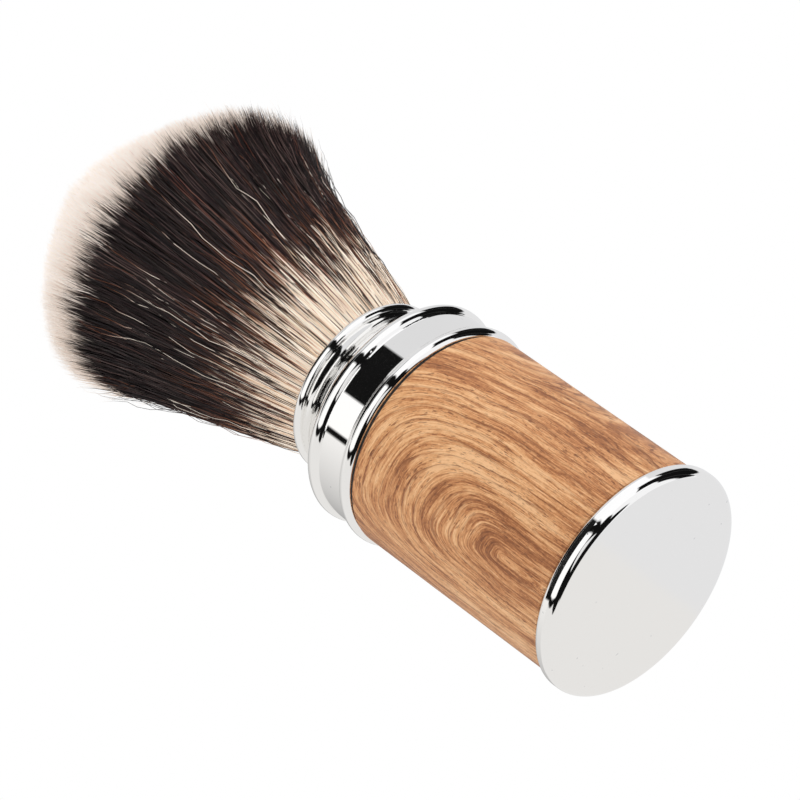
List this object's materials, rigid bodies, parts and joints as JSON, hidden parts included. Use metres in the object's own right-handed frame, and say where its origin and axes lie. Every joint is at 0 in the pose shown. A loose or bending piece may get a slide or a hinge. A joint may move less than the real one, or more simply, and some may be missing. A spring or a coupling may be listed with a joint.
{
  "type": "fade brush",
  "caption": "Hand brush with a domed, flared hair knot, a turned bright collar and foot, and a straight round wooden grip.",
  "frame": {"origin": "centre of the flat face of the foot that the brush stands on", "axes": "+Z along the brush's axis from the foot to the hair; +X is the side that the hair's domed cut slopes down to"},
  "size_m": [0.048, 0.0484, 0.1103],
  "materials": {
    "chrome": "polished",
    "grip_wood": "satin",
    "brass": "turned",
    "steel": "turned",
    "seal_rubber": "matte",
    "cup_nylon": "matte",
    "knot_resin": "gloss",
    "binding_cord": "waxed",
    "hair": "silky"
  },
  "bodies": {
    "handle": {"base_cap": "chrome", "base_insert": "brass", "base_seal": "seal_rubber", "grip_sleeve": "grip_wood", "core_tube": "brass", "balance_weight": "steel", "tie_screw": "steel", "tie_washer": "steel", "lock_washer": "steel", "collar_seal": "seal_rubber", "collar": "chrome", "ferrule": "chrome", "knot_cup": "cup_nylon", "knot_resin": "knot_resin", "knot_cord": "binding_cord", "hair_root": "hair"},
    "tuft": {"hair_tuft": "hair"}
  },
  "joints": [
    {"name": "tuft_lean", "type": "hinge", "parent": "handle", "child": "tuft", "pos_m": [0, 0, 0.06403], "axis": [0, 1, 0], "range_deg": [-30, 30], "stiffness_Nm_per_rad": 0.25}
  ]
}
